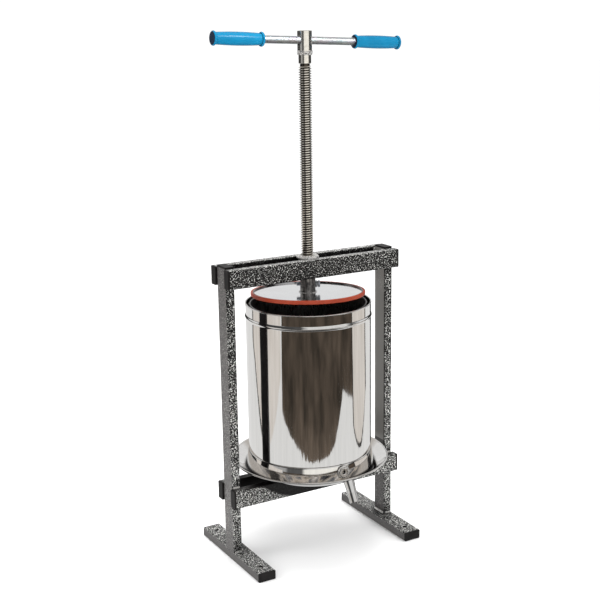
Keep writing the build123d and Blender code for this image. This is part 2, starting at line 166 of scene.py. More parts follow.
def ramp(tree, factor, stops):
    """Colour ramp from a list of (position, colour or grey level)."""
    node = add(tree, "ShaderNodeValToRGB", {"Fac": factor})
    band = node.color_ramp
    while len(band.elements) < len(stops):
        band.elements.new(0.5)
    for element, (position, colour) in zip(band.elements, stops):
        element.position = position
        if not isinstance(colour, tuple):
            colour = (colour, colour, colour)
        element.color = (*colour, 1.0)
    return node.outputs["Color"]


def maths(tree, operation, a, b=0.0):
    node = add(tree, "ShaderNodeMath", operation=operation)
    plug(tree, node.inputs[0], a)
    plug(tree, node.inputs[1], b)
    return node.outputs[0]


def remap(tree, value, low, high, to_low, to_high):
    node = add(
        tree,
        "ShaderNodeMapRange",
        {
            "Value": value,
            "From Min": low,
            "From Max": high,
            "To Min": to_low,
            "To Max": to_high,
        },
    )
    return node.outputs["Result"]


def mix(tree, factor, first, second, blend="MIX"):
    """Mix two colours (plain tuples or sockets)."""
    node = add(tree, "ShaderNodeMix", data_type="RGBA", blend_type=blend)
    plug(tree, node.inputs[0], factor)
    for socket, value in ((node.inputs[6], first), (node.inputs[7], second)):
        if isinstance(value, tuple):
            value = (*value, 1.0)
        plug(tree, socket, value)
    return node.outputs[2]


def bump(tree, height, strength, distance, under=None):
    inputs = {"Height": height, "Strength": strength, "Distance": distance}
    if under is not None:
        inputs["Normal"] = under
    return add(tree, "ShaderNodeBump", inputs).outputs["Normal"]


def fill(tree, skin, **values):
    """Set Principled inputs by short names."""
    names = {
        "color": "Base Color",
        "metal": "Metallic",
        "rough": "Roughness",
        "normal": "Normal",
        "coat": "Coat Weight",
        "coat_rough": "Coat Roughness",
        "specular": "Specular IOR Level",
    }
    for key, value in values.items():
        if isinstance(value, tuple):
            value = (*value, 1.0)
        plug(tree, skin.inputs[names[key]], value)


def xyz(tree, vector):
    """A vector's parts, by the names X, Y and Z."""
    return add(tree, "ShaderNodeSeparateXYZ", {"Vector": vector}).outputs


def from_axis(tree, x, y):
    """Distance from the Z axis."""
    square = maths(tree, "ADD", maths(tree, "POWER", x, 2.0), maths(tree, "POWER", y, 2.0))
    return maths(tree, "SQRT", square)


def dot_with(tree, vector, direction):
    node = add(tree, "ShaderNodeVectorMath", operation="DOT_PRODUCT")
    plug(tree, node.inputs[0], vector)
    node.inputs[1].default_value = direction
    return node.outputs["Value"]


def shaded(tree, color, distance, dark_at, clear_at, depth=1.0):
    """Painted shade: darken a colour where the surface is closely covered by its neighbours."""
    cover = add(tree, "ShaderNodeAmbientOcclusion", {"Distance": distance}, samples=8)
    shade = remap(tree, cover.outputs["AO"], dark_at, clear_at, depth, 0.0)
    return mix(tree, shade, color, NEARLY_BLACK)


def edge_on(tree, low, high, amount):
    """Zero where a surface faces the view, rising to amount where it is seen edge on."""
    weight = add(tree, "ShaderNodeLayerWeight", {"Blend": 0.5})
    return remap(tree, weight.outputs["Facing"], low, high, 0.0, amount)


# ------------------------------------------------------------------ materials
def under_tray(tree, spot, normal):
    """One where the drip tray keeps the low front light off a painted face, else zero."""
    drop = maths(tree, "MAXIMUM", maths(tree, "SUBTRACT", TRAY_RIM_Z, spot["Z"]), 0.0)
    slant = maths(tree, "MULTIPLY", drop, LOW_LIGHT_SLOPE)
    forward = maths(tree, "ABSOLUTE", maths(tree, "SUBTRACT", spot["Y"], slant))
    reach = from_axis(tree, spot["X"], forward)
    inside = remap(tree, reach, TRAY_RIM_R - 5 * MM, TRAY_RIM_R + 1 * MM, 1.0, 0.0)
    below = maths(tree, "LESS_THAN", spot["Z"], TRAY_RIM_Z)
    lit_side = maths(tree, "LESS_THAN", normal["Y"], 0.5)
    return maths(tree, "MULTIPLY", inside, maths(tree, "MULTIPLY", below, lit_side))


def hammer_paint():
    """Hammered enamel: fine silver flecks over dark grey, under a glossy coat."""
    mat, tree, skin = blank("hammer_paint")
    here = place(tree)
    cells = add(
        tree,
        "ShaderNodeTexVoronoi",
        {"Vector": here, "Scale": 440.0, "Randomness": 1.0},
        feature="F1",
    ).outputs["Distance"]
    grain = maths(tree, "SUBTRACT", noise_tex(tree, here, 850.0, 2.0, 0.5), 0.5)
    spot = xyz(tree, here)
    normal = xyz(tree, add(tree, "ShaderNodeTexCoord").outputs["Normal"])
    # painted light and shade: on upright faces the silver shows more near the bright floor and less
    # high above it, for the floor's light falling off
    painted_height_shade = remap(tree, spot["Z"], 0.05, 0.60, -0.040, 0.070)
    painted_height_shade = maths(tree, "MULTIPLY", painted_height_shade, maths(tree, "LESS_THAN", normal["Z"], 0.7))
    level = maths(tree, "ADD", cells, maths(tree, "MULTIPLY", grain, 0.30))
    level = maths(tree, "SUBTRACT", level, painted_height_shade)
    silver = [(0.37, 0.005), (0.49, 0.012), (0.61, (0.095, 0.094, 0.090)), (0.75, (0.80, 0.80, 0.77))]
    # painted shade: the flecks darken where neighbouring parts crowd the surface
    dark = shaded(tree, ramp(tree, level, silver), 0.16, 0.54, 0.78, 0.98)
    # painted sheen: tubes seen at a slant from the side show an even grey sheen over the flecks,
    # standing in for grazing side light
    sideways = remap(tree, maths(tree, "ABSOLUTE", normal["X"]), 0.5, 0.9, 0.0, 1.0)
    painted_sheen = maths(tree, "MULTIPLY", edge_on(tree, 0.25, 0.46, 0.66), sideways)
    # painted light: on the uprights' inner faces above the tray the sheen is lighter, for light thrown
    # back by the polished casing
    inward = maths(tree, "LESS_THAN", maths(tree, "MULTIPLY", spot["X"], normal["X"]), -0.1)
    inward = maths(tree, "MULTIPLY", inward, maths(tree, "GREATER_THAN", spot["Z"], TRAY_RIM_Z))
    painted_sheen_tone = mix(tree, inward, (0.105, 0.098, 0.096), (0.36, 0.35, 0.33))
    color = mix(tree, painted_sheen, dark, painted_sheen_tone)
    # painted shadow of the drip tray on the faces below it, cast by a low front light
    shadow = maths(tree, "MULTIPLY", under_tray(tree, spot, normal), 0.97)
    color = mix(tree, shadow, color, NEARLY_BLACK)
    # painted shade: seen in reflections, such as in the mirror-bright casing, the tubes turn nearly
    # black, showing only their shaded sides
    rays = add(tree, "ShaderNodeLightPath")
    shade = maths(tree, "MULTIPLY", rays.outputs["Is Glossy Ray"], 0.90)
    color = mix(tree, shade, color, (0.006, 0.005, 0.006))
    fill(
        tree,
        skin,
        color=color,
        metal=0.25,
        rough=remap(tree, level, 0.3, 0.8, 0.30, 0.44),
        specular=0.16,
        coat=0.16,
        coat_rough=0.16,
        normal=bump(tree, level, 0.25, 0.0004),
    )
    return mat


def black_plastic():
    mat, tree, skin = blank("black_plastic")
    here = place(tree)
    grain = noise_tex(tree, here, 1400.0, 3.0)
    haze = noise_tex(tree, here, 45.0, 3.0)
    color = ramp(tree, haze, [(0.3, (0.007, 0.0065, 0.0065)), (0.75, (0.017, 0.0155, 0.0155))])
    fill(
        tree,
        skin,
        color=color,
        specular=0.12,
        rough=remap(tree, haze, 0.3, 0.7, 0.36, 0.52),
        normal=bump(tree, grain, 0.22, 0.00025),
    )
    return mat


def weld_metal():
    mat, tree, skin = blank("weld_metal")
    here = place(tree)
    blot = noise_tex(tree, here, 260.0, 4.0, 0.6)
    fine = noise_tex(tree, here, 1500.0, 3.0)
    silver = [(0.30, (0.06, 0.06, 0.06)), (0.42, (0.50, 0.50, 0.49)), (0.54, (0.95, 0.94, 0.92))]
    fill(
        tree,
        skin,
        color=ramp(tree, blot, silver),
        metal=0.85,
        rough=remap(tree, blot, 0.3, 0.7, 0.42, 0.22),
        normal=bump(tree, fine, 0.35, 0.0003),
    )
    return mat


def sheet_steel(name, tint, rough_low, rough_high, wave, streak_scale, painted_edge_shade=0.0):
    """Polished or satin stainless sheet with faint polishing streaks and slow waves, painted shade in
    its crevices and, when asked, a painted dark edge where it is seen edge on.
    """
    mat, tree, skin = blank(name)
    here = place(tree)
    streaks = noise_tex(tree, place(tree, streak_scale), 1.0, 5.0, 0.6)
    haze = noise_tex(tree, here, 11.0, 4.0, 0.6)
    slow = noise_tex(tree, here, 13.0, 1.0, 0.4)
    dark = tuple(0.93 * part for part in tint)
    color = mix(tree, remap(tree, streaks, 0.35, 0.65, 0.0, 1.0), dark, tint)
    # painted shade in crevices and where parts meet
    color = shaded(tree, color, 0.009, 0.42, 0.80, 0.93)
    # painted shade: a dark edge where the sheet is seen edge on
    if painted_edge_shade:
        color = mix(tree, edge_on(tree, 0.80, 0.94, painted_edge_shade), color, (0.02, 0.018, 0.016))
    level = maths(
        tree, "ADD", maths(tree, "MULTIPLY", streaks, 0.45), maths(tree, "MULTIPLY", haze, 0.55)
    )
    rough = remap(tree, level, 0.35, 0.65, rough_low, rough_high)
    ripple = bump(tree, slow, 1.0, wave)
    normal = bump(tree, streaks, 0.10, 0.00004, ripple)
    fill(tree, skin, color=color, metal=1.0, rough=rough, normal=normal)
    return mat


def plate_steel():
    """The press plate's sheet, with painted shadow on its upturned lip under the seal."""
    mat, tree, skin = blank("plate_steel")
    here = place(tree)
    haze = noise_tex(tree, here, 22.0, 4.0, 0.6)
    spot = xyz(tree, here)
    # painted shadow: the upturned lip just inside the seal is nearly black
    lip = remap(tree, from_axis(tree, spot["X"], spot["Y"]), 116.3 * MM, 117.0 * MM, 0.0, 1.0)
    clean = ramp(tree, haze, [(0.3, (0.76, 0.76, 0.77)), (0.7, (0.83, 0.84, 0.85))])
    fill(
        tree,
        skin,
        color=mix(tree, lip, clean, (0.050, 0.020, 0.014)),
        metal=1.0,
        rough=remap(tree, haze, 0.3, 0.7, 0.06, 0.12),
        normal=bump(tree, haze, 1.0, 0.0004),
    )
    return mat


def screw_steel():
    """Plated screw: bright crests, with painted shade down in the thread."""
    mat, tree, skin = blank("screw_steel")
    here = place(tree)
    rings = noise_tex(tree, place(tree, (30.0, 30.0, 2600.0)), 1.0, 3.0)
    soil = noise_tex(tree, here, 150.0, 4.0, 0.62)
    spot = xyz(tree, here)
    radius = from_axis(tree, spot["X"], spot["Y"])
    # painted shade: the colour darkens from the crests down to the thread's root, on the threaded
    # length only
    depth = remap(tree, radius, ROOT_R + 0.3 * MM, MAJOR_R - 0.3 * MM, 1.0, 0.0)
    clean = ramp(
        tree,
        soil,
        [(0.28, (0.70, 0.67, 0.60)), (0.46, (0.86, 0.83, 0.77)), (0.72, (0.95, 0.93, 0.88))],
    )
    threaded = maths(tree, "LESS_THAN", spot["Z"], NECK_BOTTOM + 1 * MM)
    thread_root_shade = maths(tree, "MULTIPLY", depth, threaded)
    color = mix(tree, thread_root_shade, clean, (0.085, 0.074, 0.062))
    fill(
        tree,
        skin,
        color=color,
        metal=1.0,
        rough=remap(tree, soil, 0.3, 0.7, 0.22, 0.11),
        normal=bump(tree, rings, 0.12, 0.00004),
    )
    return mat


def zinc():
    mat, tree, skin = blank("zinc")
    here = place(tree)
    flakes = add(
        tree, "ShaderNodeTexVoronoi", {"Vector": place(tree, (40.0, 210.0, 210.0)), "Scale": 1.0}
    ).outputs["Color"]
    soil = noise_tex(tree, here, 85.0, 5.0, 0.65)
    base = ramp(tree, soil, [(0.28, (0.52, 0.55, 0.60)), (0.70, (0.80, 0.845, 0.89))])
    color = mix(tree, 0.16, base, flakes, "OVERLAY")
    fill(
        tree,
        skin,
        color=color,
        metal=1.0,
        rough=remap(tree, soil, 0.3, 0.7, 0.52, 0.38),
        normal=bump(tree, soil, 0.18, 0.0003),
    )
    return mat


def dark_steel():
    mat, tree, skin = blank("dark_steel")
    here = place(tree)
    drawn = noise_tex(tree, place(tree, (700.0, 700.0, 22.0)), 1.0, 4.0)
    soil = noise_tex(tree, here, 120.0, 4.0, 0.6)
    level = maths(
        tree, "ADD", maths(tree, "MULTIPLY", soil, 0.4), maths(tree, "MULTIPLY", drawn, 0.6)
    )
    steel = [(0.38, (0.022, 0.021, 0.022)), (0.50, (0.14, 0.135, 0.13)), (0.60, (0.46, 0.44, 0.42))]
    fill(
        tree,
        skin,
        color=ramp(tree, level, steel),
        metal=0.9,
        rough=remap(tree, drawn, 0.3, 0.7, 0.26, 0.46),
        normal=bump(tree, drawn, 0.25, 0.00012),
    )
    return mat


def silicone():
    mat, tree, skin = blank("silicone")
    here = place(tree)
    haze = noise_tex(tree, here, 60.0, 4.0)
    grain = noise_tex(tree, here, 1800.0, 2.0)
    color = ramp(tree, haze, [(0.3, (0.25, 0.028, 0.008)), (0.7, (0.34, 0.043, 0.013))])
    fill(
        tree,
        skin,
        color=color,
        rough=remap(tree, haze, 0.3, 0.7, 0.34, 0.50),
        specular=0.35,
        normal=bump(tree, grain, 0.12, 0.00015),
    )
    return mat


def blue_grip():
    """Moulded grip: bright blue around, dark on the faces across the bar."""
    mat, tree, skin = blank("blue_grip")
    here = place(tree)
    grain = noise_tex(tree, here, 1600.0, 3.0)
    haze = noise_tex(tree, here, 40.0, 3.0)
    around = ramp(tree, haze, [(0.3, (0.0, 0.178, 0.350)), (0.7, (0.0, 0.215, 0.410))])
    # painted shade: the blue darkens where the grip is seen edge on, along its top and bottom
    around = mix(tree, edge_on(tree, 0.30, 0.92, 0.85), around, (0.0, 0.060, 0.125))
    coord = add(tree, "ShaderNodeTexCoord")
    facing = maths(tree, "ABSOLUTE", dot_with(tree, coord.outputs["Normal"], (1.0, 0.0, -0.039)))
    across = remap(tree, facing, 0.82, 0.97, 0.0, 1.0)
    color = mix(tree, across, around, (0.001, 0.010, 0.030))
    fill(
        tree,
        skin,
        color=color,
        specular=0.08,
        coat=0.30,
        coat_rough=0.22,
        rough=remap(tree, haze, 0.3, 0.7, 0.34, 0.44),
        normal=bump(tree, grain, 0.16, 0.0002),
    )
    return mat


looks = {
    "hammer_paint": hammer_paint(),
    "black_plastic": black_plastic(),
    "weld_metal": weld_metal(),
    "polished_steel": sheet_steel(
        "polished_steel", SHEET_TINT, 0.025, 0.075, 0.0006, SHEET_STREAKS
    ),
    "inner_steel": sheet_steel(
        "inner_steel", (0.42, 0.41, 0.40), 0.22, 0.36, 0.0004, (300.0, 300.0, 12.0)
    ),
    "screw_steel": screw_steel(),
    "zinc": zinc(),
    "dark_steel": dark_steel(),
    "silicone": silicone(),
    "blue_grip": blue_grip(),
}
plate_look = plate_steel()
# the tray's sheet gets a painted dark edge where it is seen edge on
tray_look = sheet_steel("tray_steel", SHEET_TINT, 0.03, 0.09, 0.0006, SHEET_STREAKS, 0.85)
for part in frame["record"]["subparts"]:
    shown = nodes[part["node"]]
    shown.data.materials.clear()
    special = plate_look if part["node"] == "piston_plate" else None
    shown.data.materials.append(special or looks[part["material_slot"]])


# ------------------------------------------------------------------ mesh helpers
def solid(name, points, faces):
    """Object made from a closed surface's points and faces, its normals facing out."""
    mesh = bpy.data.meshes.new(name)
    mesh.from_pydata([tuple(point) for point in points], [], faces)
    work = bmesh.new()
    work.from_mesh(mesh)
    bmesh.ops.recalc_face_normals(work, faces=work.faces)
    work.to_mesh(mesh)
    work.free()
    thing = bpy.data.objects.new(name, mesh)
    bpy.context.scene.collection.objects.link(thing)
    return thing


def make_piece(name, points, faces, body, slot, stands_for=()):
    """Smooth piece that rides on a body, in place of the CAD nodes it stands for."""
    piece = solid(name, points, faces)
    piece.data.shade_smooth()
    piece.data.set_sharp_from_angle(angle=SHARP_ANGLE)
    piece.data.materials.append(looks[slot])
    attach(piece, body)
    if stands_for:
        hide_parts(*stands_for)
    return piece


def cut(piece, points, faces):
    """Cut a closed mesh out of a piece, for good."""
    cutter = solid("cutter", points, faces)
    trim = piece.modifiers.new("cut", "BOOLEAN")
    trim.operation = "DIFFERENCE"
    trim.solver = "EXACT"
    trim.object = cutter
    graph = bpy.context.evaluated_depsgraph_get()
    result = bpy.data.meshes.new_from_object(piece.evaluated_get(graph))
    piece.modifiers.remove(trim)
    result.name = piece.name
    piece.data = result
    bpy.data.objects.remove(cutter)


def join(parts):
    points = []
    faces = []
    for some_points, some_faces in parts:
        base = len(points)
        points += some_points
        faces += [[base + corner for corner in face] for face in some_faces]
    return points, faces


def ring_points(radius, z, segments, push=None):
    points = []
    for index in range(segments):
        angle = 2 * math.pi * index / segments
        r = radius + (push(angle, z) if push else 0.0)
        points.append(Vector((r * math.cos(angle), r * math.sin(angle), z)))
    return points


def add_rows(points, profile, segments, push=None):
    """Add a ring of points for each (radius, z), or one point where it is on the axis."""
    rows = []
    for radius, z in profile:
        if radius < ON_AXIS:
            rows.append([len(points)] * segments)
            points.append(Vector((0, 0, z)))
        else:
            rows.append(list(range(len(points), len(points) + segments)))
            points += ring_points(radius, z, segments, push)
    return rows


def band(rows, closed):
    """Faces from each ring of corners to the next, and back to the first if closed."""
    pairs = list(zip(rows, rows[1:]))
    if closed:
        pairs.append((rows[-1], rows[0]))
    faces = []
    for low, high in pairs:
        for index in range(len(low)):
            after = (index + 1) % len(low)
            face = []
            for corner in (low[index], low[after], high[after], high[index]):
                if corner not in face:
                    face.append(corner)
            if len(face) > 2:
                faces.append(face)
    return faces


def lathe(profile, segments, closed, push=None):
    """Revolve a list of (radius, z) about Z. An open profile starts and ends on the axis."""
    points = []
    rows = add_rows(points, profile, segments, push)
    return points, band(rows, closed)


# ------------------------------------------------------------------ screw with a real helix
def screw_piece():
    """Right-hand trapezoidal helix between a plain journal and a plain neck."""
    segments = 48
    depth = MAJOR_R - ROOT_R
    flank = depth * FLANK
    ease = 0.25 * MM
    turn_profile = [
        (0.0, 0.0),
        (ease * 0.6, ease),
        (flank - ease * 0.2, depth - ease * 1.2),
        (flank + ease, depth),
        (flank + CREST - ease, depth),
        (flank + CREST + ease * 0.2, depth - ease * 1.2),
        (2 * flank + CREST - ease * 0.6, ease),
        (2 * flank + CREST, 0.0),
    ]
    per_turn = len(turn_profile)
    first = THREAD_BOTTOM - 0.2 * MM
    turns = int((NECK_BOTTOM - 0.5 * MM - first) / PITCH)
    last = first + turns * PITCH

    points = []
    grid = []
    for row in range((turns - 1) * per_turn + 1):
        turn, step = divmod(row, per_turn)
        along, height = turn_profile[step]
        line = []
        for index in range(segments):
            z = first + turn * PITCH + along + PITCH * index / segments
            grow = min(1.0, (z - first) / (1.2 * PITCH))
            shrink = min(1.0, (last - z) / (1.2 * PITCH))
            r = ROOT_R + height * max(0.0, min(grow, shrink))
            angle = 2 * math.pi * index / segments
            line.append(len(points))
            points.append(Vector((r * math.cos(angle), r * math.sin(angle), z)))
        grid.append(line)
    faces = []
    for row in range(len(grid) - 1):
        for index in range(segments - 1):
            faces.append(
                (grid[row][index], grid[row][index + 1], grid[row + 1][index + 1], grid[row + 1][index])
            )
    for row in range(len(grid) - 1 - per_turn):
        faces.append(
            (
                grid[row][segments - 1],
                grid[row + per_turn][0],
                grid[row + per_turn + 1][0],
                grid[row + 1][segments - 1],
            )
        )

    tip = PLATE_TOP + 2.4 * MM
    lower = [
        (0.0, tip),
        (6.0 * MM, tip + 0.3 * MM),
        (9.0 * MM, tip + 1.6 * MM),
        (JOURNAL_R - CHAMFER, tip + 3.0 * MM),
        (JOURNAL_R, tip + 3.8 * MM),
        (JOURNAL_R, GROOVE_BOTTOM - CHAMFER),
        (JOURNAL_R - CHAMFER, GROOVE_BOTTOM),
        (GROOVE_R + CHAMFER, GROOVE_BOTTOM),
        (GROOVE_R, GROOVE_BOTTOM + CHAMFER),
        (GROOVE_R, GROOVE_TOP - CHAMFER),
        (GROOVE_R + CHAMFER, GROOVE_TOP),
        (JOURNAL_R - CHAMFER, GROOVE_TOP),
        (JOURNAL_R, GROOVE_TOP + CHAMFER),
        (JOURNAL_R, first - 1.6 * MM),
        (ROOT_R, first - 0.8 * MM),
    ]
    upper = [
        (ROOT_R, last + 0.3 * MM),
        (MAJOR_R - 2 * CHAMFER, NECK_BOTTOM + 0.6 * MM),
        (MAJOR_R, NECK_BOTTOM + 1.4 * MM),
        (MAJOR_R, NECK_TOP - CHAMFER),
        (MAJOR_R - CHAMFER, NECK_TOP),
        (HUB_PIN_R, NECK_TOP),
        (HUB_PIN_R, HUB_PIN_TOP - 0.6 * MM),
        (HUB_PIN_R - 0.6 * MM, HUB_PIN_TOP),
        (0.0, HUB_PIN_TOP),
    ]
    ends = []
    for profile in (lower, upper):
        rows = add_rows(points, profile, segments)
        faces += band(rows, False)
        ends.append(rows)
    bottom = ends[0][-1]
    top = ends[1][0]
    # the helix ends in a one-pitch step, closed by a single face at the seam
    for index in range(segments - 1):
        faces.append((bottom[index], bottom[index + 1], grid[0][index + 1], grid[0][index]))
        faces.append((grid[-1][index], grid[-1][index + 1], top[index + 1], top[index]))
    low_step = [grid[row][0] for row in range(per_turn + 1)]
    faces.append([bottom[segments - 1], bottom[0], *low_step, grid[0][segments - 1]])
    start_row = len(grid) - 1 - per_turn
    high_step = [grid[row][segments - 1] for row in range(start_row, len(grid))]
    faces.append([grid[-1][0], *high_step, top[segments - 1], top[0]])
    make_piece("screw", points, faces, "screw", "screw_steel", ["screw_spindle"])


screw_piece()


# ------------------------------------------------------------------ casing
def swage(radius, z_from, z_to):
    """Profile points over the casing's rolled bead, from one height to the other."""
    points = []
    ease = (z_to - z_from) * 0.04
    points.append((radius, z_from - ease))
    for index in range(13):
        share = index / 12
        bulge = BEAD_BULGE * (0.5 - 0.5 * math.cos(2 * math.pi * share))
        points.append((radius + bulge, z_from + (z_to - z_from) * share))
    points.append((radius, z_to + ease))
    return points


def casing_piece():
    """Thin cylinder with a hemmed rim and a bead, very slightly out of true like real sheet."""
    low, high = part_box("casing_shell")
    bead_z = high.z - BEAD_DROP
    hem_z = high.z - HEM_R
    inner_r = CASING_R - CASING_WALL
    hem_centre = CASING_R - CASING_WALL / 2
    walls = 14
    wall_top = bead_z - BEAD_HALF
    outer = [(CASING_R, low.z + (wall_top - low.z) * step / walls) for step in range(walls)]
    profile = [(CASING_R - 0.3 * MM, low.z), *[(r, max(z, low.z + 0.3 * MM)) for r, z in outer]]
    profile += swage(CASING_R, bead_z - BEAD_HALF, bead_z + BEAD_HALF)
    for step in range(17):
        angle = math.radians(-66.0 + 312.0 * step / 16)
        profile.append((hem_centre + HEM_R * math.cos(angle), hem_z + HEM_R * math.sin(angle)))
    profile += swage(inner_r, bead_z + BEAD_HALF, bead_z - BEAD_HALF)
    profile += [(inner_r, z) for r, z in reversed(outer[1:])]
    profile += [(inner_r, low.z + 0.3 * MM), (inner_r + 0.3 * MM, low.z)]

    def push(angle, z):
        spot = Vector((2.2 * math.cos(angle), 2.2 * math.sin(angle), 1.3 * z))
        return SHEET_WAVE * noise.noise(spot + Vector((4.0, 1.0, 9.0)))

    points, faces = lathe(profile, 288, True, push)
    make_piece("casing", points, faces, "casing", "polished_steel", ["casing_shell"])


casing_piece()


# ------------------------------------------------------------------ drip tray
def tray_piece():
    """Spun dish: its floor curves up into the flared wall and a rolled rim."""
    low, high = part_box("drip_tray")
    rim_r = high.x - TRAY_ROLL
    rim_z = high.z - TRAY_ROLL
    steps = 26
    under = [(0.0, low.z), (TRAY_FLOOR_R, low.z)]
    for step in range(steps + 1):
        share = step / steps
        rise = (rim_z - low.z) * share**TRAY_CURVE
        under.append((TRAY_FLAT_R + (rim_r - TRAY_FLAT_R) * share, low.z + rise))
    roll = []
    for step in range(15):
        angle = math.radians(-70.0 + 250.0 * step / 14)
        roll.append((rim_r + TRAY_ROLL * math.cos(angle), rim_z + TRAY_ROLL * math.sin(angle)))
    inner = [(radius - 0.5 * MM * (radius > TRAY_FLAT_R), z + TRAY_SHEET) for radius, z in under]
    profile = under[:-1] + roll + inner[-2::-1]

    def push(angle, z):
        spot = Vector((2.4 * math.cos(angle), 2.4 * math.sin(angle), 9.0 * z))
        return 0.22 * MM * noise.noise(spot + Vector((2.0, 8.0, 5.0)))

    points, faces = lathe(profile, 256, False, push)
    tray = make_piece("tray", points, faces, "frame", "polished_steel", ["drip_tray"])
    tray.data.materials[0] = tray_look


tray_piece()


# ------------------------------------------------------------------ basket stand
def stand_piece():
    """Pressed stand: a closed flat top with juice holes round it, over a rounded skirt."""
    low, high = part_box("basket_stand")
    top = high.z
    edge_z = top - STAND_EDGE_R
    steps = 18
    outer = []
    for step in range(5):
        angle = math.radians(90.0 - (90.0 - SKIRT_START) * step / 4)
        r = STAND_TOP_R + STAND_EDGE_R * math.cos(angle)
        outer.append((r, edge_z + STAND_EDGE_R * math.sin(angle)))
    start_r, start_z = outer[-1]
    start_height = math.sin(math.radians(SKIRT_START))
    for step in range(1, steps + 1):
        share = step / steps
        turned = math.radians(SKIRT_START + (90.0 - SKIRT_START) * share)
        swell = (math.sin(turned) - start_height) / (1.0 - start_height)
        r = start_r + (STAND_FOOT_R - start_r) * swell
        outer.append((r, start_z + (low.z - start_z) * share))
    inner = [(radius - STAND_SHEET, z - STAND_SHEET) for radius, z in outer[:-1]]
    inner.append((outer[-1][0] - STAND_SHEET, low.z))
    profile = [(0.0, top), *outer, *inner[::-1], (0.0, top - STAND_SHEET)]

    def push(angle, z):
        spot = Vector((2.1 * math.cos(angle), 2.1 * math.sin(angle), 22.0 * z))
        return 0.30 * MM * noise.noise(spot + Vector((5.0, 2.0, 8.0)))

    points, faces = lathe(profile, 256, False, push)
    stand = make_piece("stand", points, faces, "frame", "polished_steel", ["basket_stand"])
    pin_low = top - 4 * MM
    pin_high = top + 4 * MM
    pin = [(0.0, pin_low), (JUICE_HOLE_R, pin_low), (JUICE_HOLE_R, pin_high), (0.0, pin_high)]
    pins = []
    for index in range(JUICE_HOLES):
        angle = 2 * math.pi * index / JUICE_HOLES
        pin_points, pin_faces = lathe(pin, 16, False)
        aside = Vector((JUICE_RING_R * math.cos(angle), JUICE_RING_R * math.sin(angle), 0))
        pins.append(([point + aside for point in pin_points], pin_faces))
    cut(stand, *join(pins))


stand_piece()


# ------------------------------------------------------------------ weld beads
def bead_mesh(path, sides, size, closed, lump, seed):
    """Lumpy bead along a path. Each side pair spans the cross-section at its point."""
    points = []
    rows = []
    count = len(path)
    for index, (centre, (across, up)) in enumerate(zip(path, sides)):
        taper = 1.0
        if not closed:
            reach = min(index, count - 1 - index) / (0.12 * count)
            taper = math.sqrt(max(0.02, 1.0 - (1.0 - min(1.0, reach)) ** 2))
        ripple = 0.07 * math.sin(index * 1.9)
        row = []
        for corner in range(BEAD_SIDES):
            angle = 2 * math.pi * corner / BEAD_SIDES
            direction = across * math.cos(angle) + up * math.sin(angle)
            spot = centre + direction * size
            wander = noise.noise(spot * 170.0 + Vector((seed, seed * 0.7, 0.0)))
            knob = noise.noise(spot * 420.0 + Vector((0.0, seed, seed * 1.3)))
            radius = size * taper * (1.0 + ripple + lump * wander + 0.6 * lump * knob)
            row.append(len(points))
            points.append(centre + direction * radius)
        rows.append(row)
    faces = band(rows, closed)
    if not closed:
        faces.append(rows[0][::-1])
        faces.append(rows[-1])
    return points, faces


def straight_bead(middle, side_a, side_b, length, size, seed):
    run = side_a.cross(side_b).normalized()
    steps = max(6, int(length / BEAD_STEP))
    path = []
    for index in range(steps + 1):
        along = (index / steps - 0.5) * length
        wander = noise.noise(Vector((along * 90.0, seed, 0.0))) * 0.35
        path.append(middle + run * along + (side_a + side_b) * size * (0.42 + 0.3 * wander))
    return bead_mesh(path, [(side_a, side_b)] * len(path), size, False, 0.30, seed)


def ring_bead(radius, height, size, lump, seed, matrix=None):
    """Bead round the Z axis, moved by a matrix."""
    steps = int(2 * math.pi * radius / BEAD_STEP)
    path = []
    sides = []
    for index in range(steps):
        angle = 2 * math.pi * index / steps
        outward = Vector((math.cos(angle), math.sin(angle), 0.0))
        wander = noise.noise(outward * 3.1 + Vector((seed, 0.0, 0.0)))
        path.append(outward * (radius + wander * size * 0.35) + Vector((0, 0, height)))
        sides.append((outward, Vector((0, 0, 1.0))))
    points, faces = bead_mesh(path, sides, size, True, lump, seed)
    if matrix is not None:
        points = [matrix @ point for point in points]
    return points, faces


def frame_welds():
    """Beads where the uprights meet the feet and where the beams meet the uprights."""
    foot_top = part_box("left_foot")[1].z
    beam_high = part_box("front_lower_beam")[1].z
    up = Vector((0, 0, 1))
    runs = []
    for name, side in (("left_upright", -1), ("right_upright", 1)):
        low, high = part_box(name)
        inner = high.x if side < 0 else low.x
        middle_x = (low.x + high.x) / 2
        inward = Vector((-side, 0, 0))
        runs.append((Vector((inner, 0, foot_top)), inward, up, LONG_WELD))
        for face in (-1, 1):
            edge = face * high.y
            out = Vector((0, face, 0))
            runs.append((Vector((middle_x, edge, foot_top)), out, up, SHORT_WELD))
            for beam in ("front_top_beam", "front_lower_beam"):
                beam_low, beam_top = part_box(beam)
                z = (beam_low.z + beam_top.z) / 2
                runs.append((Vector((inner, edge, z)), inward, -out, LONG_WELD))
                runs.append((Vector((middle_x, edge, beam_low.z)), out, -up, SHORT_WELD))
            runs.append((Vector((middle_x, edge, beam_high)), out, up, SHORT_WELD))
    parts = []
    seed = 0.0
    for run in runs:
        parts.append(straight_bead(*run, WELD_SIZE, seed))
        seed += SEED_STEP
    points, faces = join(parts)
    make_piece("frame_welds", points, faces, "frame", "weld_metal", ["frame_weld_beads"])


frame_welds()

beam_bottom, beam_top = [corner.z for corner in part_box("front_top_beam")]
points, faces = join(
    [
        ring_bead(17.6 * MM, beam_top + 2.2 * MM, 2.7 * MM, 0.42, 11.0),
        ring_bead(21.4 * MM, beam_top + 0.6 * MM, 2.9 * MM, 0.45, 5.0),
        ring_bead(21.0 * MM, beam_bottom - 0.4 * MM, 2.6 * MM, 0.35, 8.0),
    ]
)
make_piece("nut_welds", points, faces, "frame", "weld_metal", ["nut_weld_beads"])

